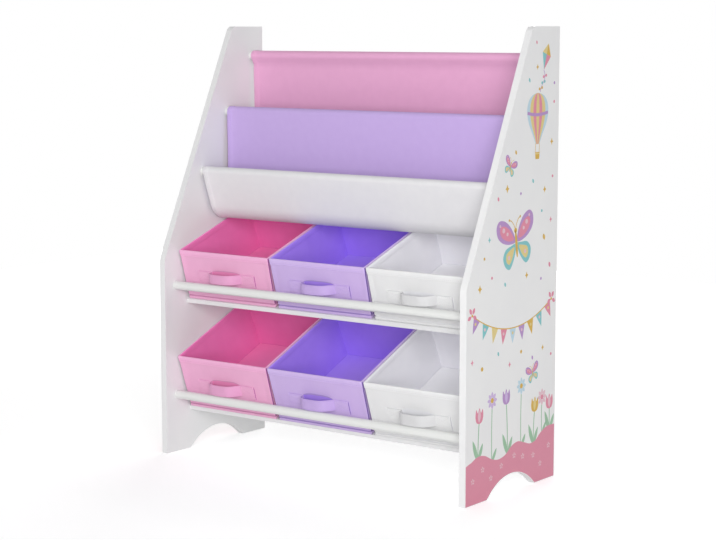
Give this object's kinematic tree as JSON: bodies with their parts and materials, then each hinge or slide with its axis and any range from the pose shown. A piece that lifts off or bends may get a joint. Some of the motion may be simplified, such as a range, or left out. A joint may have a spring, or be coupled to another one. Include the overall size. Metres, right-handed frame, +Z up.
{
  "type": "kids storage shelf",
  "caption": "Child's storage rack: profiled side panels, hanging cloth sling pockets for books above, and sloping boards with lift-out open cloth bins behind round front rails.",
  "frame": {"origin": "on the floor, centre of the footprint between the side panels", "axes": "+Z up, -Y is the front, where the bins and pockets face, +X to the right for someone who stands facing the front"},
  "size_m": [0.635, 0.266, 0.74],
  "materials": {
    "painted_board": "satin white paint on fibreboard, printed on the outer faces of the side panels",
    "painted_dowel": "glossy white enamel on a beech dowel",
    "pink_cloth": "matt woven cloth",
    "purple_cloth": "matt woven cloth",
    "white_cloth": "matt woven cloth",
    "pink_nonwoven": "matt non-woven cloth over card",
    "purple_nonwoven": "matt non-woven cloth over card",
    "white_nonwoven": "matt non-woven cloth over card",
    "pink_plate": "cloth-covered card",
    "purple_plate": "cloth-covered card",
    "white_plate": "cloth-covered card",
    "white_plastic": "moulded",
    "zinc": "zinc plated"
  },
  "bodies": {
    "shelf_frame": {"side_panel_left": "painted_board", "side_panel_right": "painted_board", "upper_board": "painted_board", "lower_board": "painted_board", "upper_front_rail": "painted_dowel", "lower_front_rail": "painted_dowel", "sling_rod_top_rear": "painted_dowel", "sling_rod_middle_front": "painted_dowel", "sling_rod_low_front": "painted_dowel", "sling_rod_low_rear": "painted_dowel", "sling_back_pink": "pink_cloth", "sling_middle_purple": "purple_cloth", "sling_front_white": "white_cloth", "corner_blocks": "white_plastic", "block_screws": "zinc"},
    "upper_pink_bin": {"upper_pink_shell": "pink_nonwoven", "upper_pink_rim": "pink_nonwoven", "upper_pink_handle": "pink_nonwoven", "upper_pink_plate": "pink_plate"},
    "upper_purple_bin": {"upper_purple_shell": "purple_nonwoven", "upper_purple_rim": "purple_nonwoven", "upper_purple_handle": "purple_nonwoven", "upper_purple_plate": "purple_plate"},
    "upper_white_bin": {"upper_white_shell": "white_nonwoven", "upper_white_rim": "white_nonwoven", "upper_white_handle": "white_nonwoven", "upper_white_plate": "white_plate"},
    "lower_pink_bin": {"lower_pink_shell": "pink_nonwoven", "lower_pink_rim": "pink_nonwoven", "lower_pink_handle": "pink_nonwoven", "lower_pink_plate": "pink_plate"},
    "lower_purple_bin": {"lower_purple_shell": "purple_nonwoven", "lower_purple_rim": "purple_nonwoven", "lower_purple_handle": "purple_nonwoven", "lower_purple_plate": "purple_plate"},
    "lower_white_bin": {"lower_white_shell": "white_nonwoven", "lower_white_rim": "white_nonwoven", "lower_white_handle": "white_nonwoven", "lower_white_plate": "white_plate"}
  },
  "joints": [
    {"name": "lift_upper_pink_bin", "type": "slide", "parent": "shelf_frame", "child": "upper_pink_bin", "axis": [0, -0.3387, 0.9409], "range_m": [0, 0.003]},
    {"name": "lift_upper_purple_bin", "type": "slide", "parent": "shelf_frame", "child": "upper_purple_bin", "axis": [0, -0.3387, 0.9409], "range_m": [0, 0.003]},
    {"name": "lift_upper_white_bin", "type": "slide", "parent": "shelf_frame", "child": "upper_white_bin", "axis": [0, -0.3387, 0.9409], "range_m": [0, 0.003]},
    {"name": "lift_lower_pink_bin", "type": "slide", "parent": "shelf_frame", "child": "lower_pink_bin", "axis": [0, -0.4035, 0.915], "range_m": [0, 0.045]},
    {"name": "lift_lower_purple_bin", "type": "slide", "parent": "shelf_frame", "child": "lower_purple_bin", "axis": [0, -0.4035, 0.915], "range_m": [0, 0.045]},
    {"name": "lift_lower_white_bin", "type": "slide", "parent": "shelf_frame", "child": "lower_white_bin", "axis": [0, -0.4035, 0.915], "range_m": [0, 0.045]}
  ]
}
